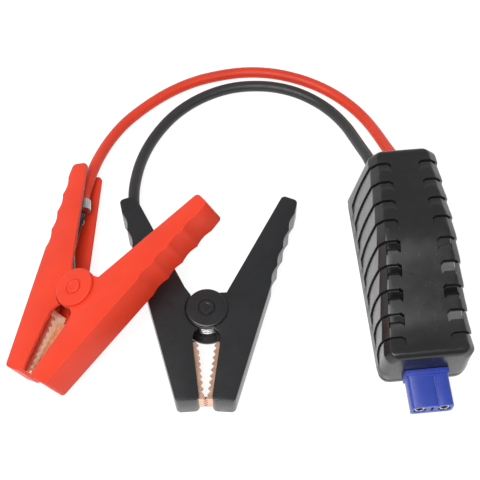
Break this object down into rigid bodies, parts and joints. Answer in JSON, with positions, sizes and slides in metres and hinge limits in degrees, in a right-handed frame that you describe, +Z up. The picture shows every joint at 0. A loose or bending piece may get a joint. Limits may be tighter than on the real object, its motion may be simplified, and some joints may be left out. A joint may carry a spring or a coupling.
{
  "type": "jump starter clamp lead set",
  "caption": "Jump starter lead set: a ribbed black control module with a blue two-pole plug, a red and a black cable, and two sprung crocodile clamps.",
  "frame": {"origin": "on the surface the set lies on, under the centre of the module and clamps taken together", "axes": "+Z up, +Y from the clamps' jaws towards the loop of the cables, +X from the clamps towards the control module"},
  "size_m": [0.222, 0.2053, 0.0557],
  "materials": {
    "module_plastic": "satin, glossy on the rounded front edge",
    "black_plastic": "satin",
    "red_plastic": "satin",
    "blue_plastic": "satin",
    "black_rubber": "soft silicone",
    "red_rubber": "soft silicone",
    "copper": "plated copper, bright",
    "steel": "bright zinc",
    "contact_gold": "gold plated",
    "board": "solder mask",
    "relay_plastic": "moulded"
  },
  "bodies": {
    "root": {"module_upper_case": "module_plastic", "module_lower_case": "module_plastic", "module_screw_1": "steel", "module_screw_2": "steel", "module_screw_3": "steel", "module_screw_4": "steel", "circuit_board": "board", "relay_1": "relay_plastic", "relay_2": "relay_plastic", "control_chip": "relay_plastic", "capacitor": "steel", "red_cable_terminal": "contact_gold", "black_cable_terminal": "contact_gold", "red_cable_gland": "black_rubber", "black_cable_gland": "black_rubber", "connector_housing": "blue_plastic", "positive_contact": "contact_gold", "negative_contact": "contact_gold", "positive_bus_bar": "copper", "negative_bus_bar": "copper", "red_cable": "red_rubber", "black_cable": "black_rubber", "black_fixed_arm_cover": "black_plastic", "black_fixed_jaw": "copper", "black_pivot_pin": "steel", "black_pivot_cap": "black_plastic", "black_torsion_spring": "steel", "black_clamp_terminal": "steel", "red_fixed_arm_cover": "red_plastic", "red_fixed_jaw": "copper", "red_pivot_pin": "steel", "red_pivot_cap": "red_plastic", "red_torsion_spring": "steel", "red_clamp_terminal": "steel"},
    "red_arm": {"red_moving_arm_cover": "red_plastic", "red_moving_jaw": "copper"},
    "black_arm": {"black_moving_arm_cover": "black_plastic", "black_moving_jaw": "copper"}
  },
  "joints": [
    {"name": "black_clamp_hinge", "type": "hinge", "parent": "root", "child": "black_arm", "pos_m": [-0.0152, -0.0153, 0.008], "axis": [0, 0, 1], "range_deg": [0, 28], "stiffness_Nm_per_rad": 0.5, "springref_deg": -20.05},
    {"name": "red_clamp_hinge", "type": "hinge", "parent": "root", "child": "red_arm", "pos_m": [-0.075, -0.01, 0.0204], "axis": [-0.4319, 0.0635, 0.8997], "range_deg": [0, 28], "stiffness_Nm_per_rad": 0.5, "springref_deg": -20.05}
  ]
}
